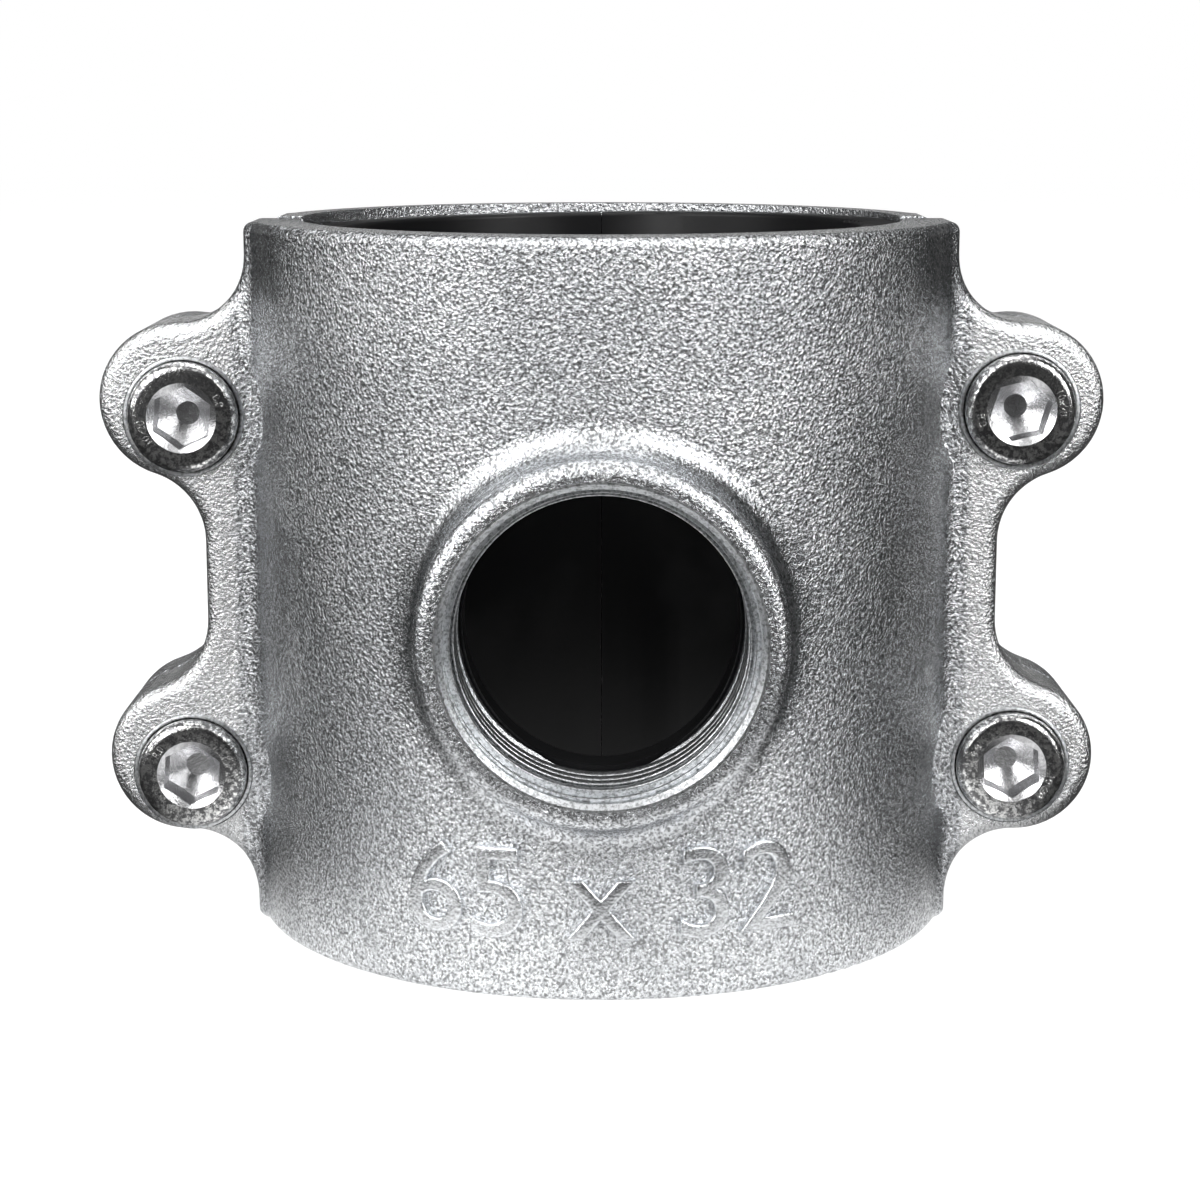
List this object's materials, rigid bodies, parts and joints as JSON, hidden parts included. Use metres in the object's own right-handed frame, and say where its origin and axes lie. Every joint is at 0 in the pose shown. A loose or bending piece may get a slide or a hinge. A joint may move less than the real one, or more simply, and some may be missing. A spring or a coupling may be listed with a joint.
{
  "type": "mechanical tee",
  "caption": "Cast half-shell pipe clamp over a slit rubber sleeve, with a threaded side outlet and socket head clamping screws.",
  "frame": {"origin": "on the run pipe's axis, in the plane of the lower end faces", "axes": "+Z along the run pipe's axis, -Y out of the threaded outlet, +X to the right seen from the outlet"},
  "size_m": [0.1452, 0.1063, 0.103],
  "materials": {
    "galvanised_casting": "hot-dip galvanised, sand-cast grain",
    "sleeve_rubber": "smooth black moulded rubber",
    "plated_steel": "bright zinc plated"
  },
  "bodies": {
    "front_half": {"front_shell": "galvanised_casting", "sealing_sleeve": "sleeve_rubber"},
    "rear_half": {"rear_shell": "galvanised_casting"},
    "upper_left_fastener": {"upper_left_screw": "plated_steel"},
    "upper_right_fastener": {"upper_right_screw": "plated_steel"},
    "lower_left_fastener": {"lower_left_screw": "plated_steel"},
    "lower_right_fastener": {"lower_right_screw": "plated_steel"}
  },
  "joints": [
    {"name": "rear_release", "type": "slide", "parent": "front_half", "child": "rear_half", "axis": [0, 1, 0], "range_m": [0, 0.012]},
    {"name": "upper_left_turn", "type": "hinge", "parent": "front_half", "child": "upper_left_fastener", "pos_m": [-0.0603, -0.0052, 0.07502], "axis": [0, -1, 0], "range_deg": [0, 2880]},
    {"name": "upper_right_turn", "type": "hinge", "parent": "front_half", "child": "upper_right_fastener", "pos_m": [0.0603, -0.0052, 0.07608], "axis": [0, -1, 0], "range_deg": [0, 2880]},
    {"name": "lower_left_turn", "type": "hinge", "parent": "front_half", "child": "lower_left_fastener", "pos_m": [-0.0603, -0.0052, 0.02227], "axis": [0, -1, 0], "range_deg": [0, 2880]},
    {"name": "lower_right_turn", "type": "hinge", "parent": "front_half", "child": "lower_right_fastener", "pos_m": [0.0603, -0.0052, 0.02332], "axis": [0, -1, 0], "range_deg": [0, 2880]}
  ],
  "couplings": [
    {"joint": "upper_left_turn", "follows": "rear_release", "rad_per_m": 4188.8},
    {"joint": "upper_right_turn", "follows": "rear_release", "rad_per_m": 4188.8},
    {"joint": "lower_left_turn", "follows": "rear_release", "rad_per_m": 4188.8},
    {"joint": "lower_right_turn", "follows": "rear_release", "rad_per_m": 4188.8}
  ]
}
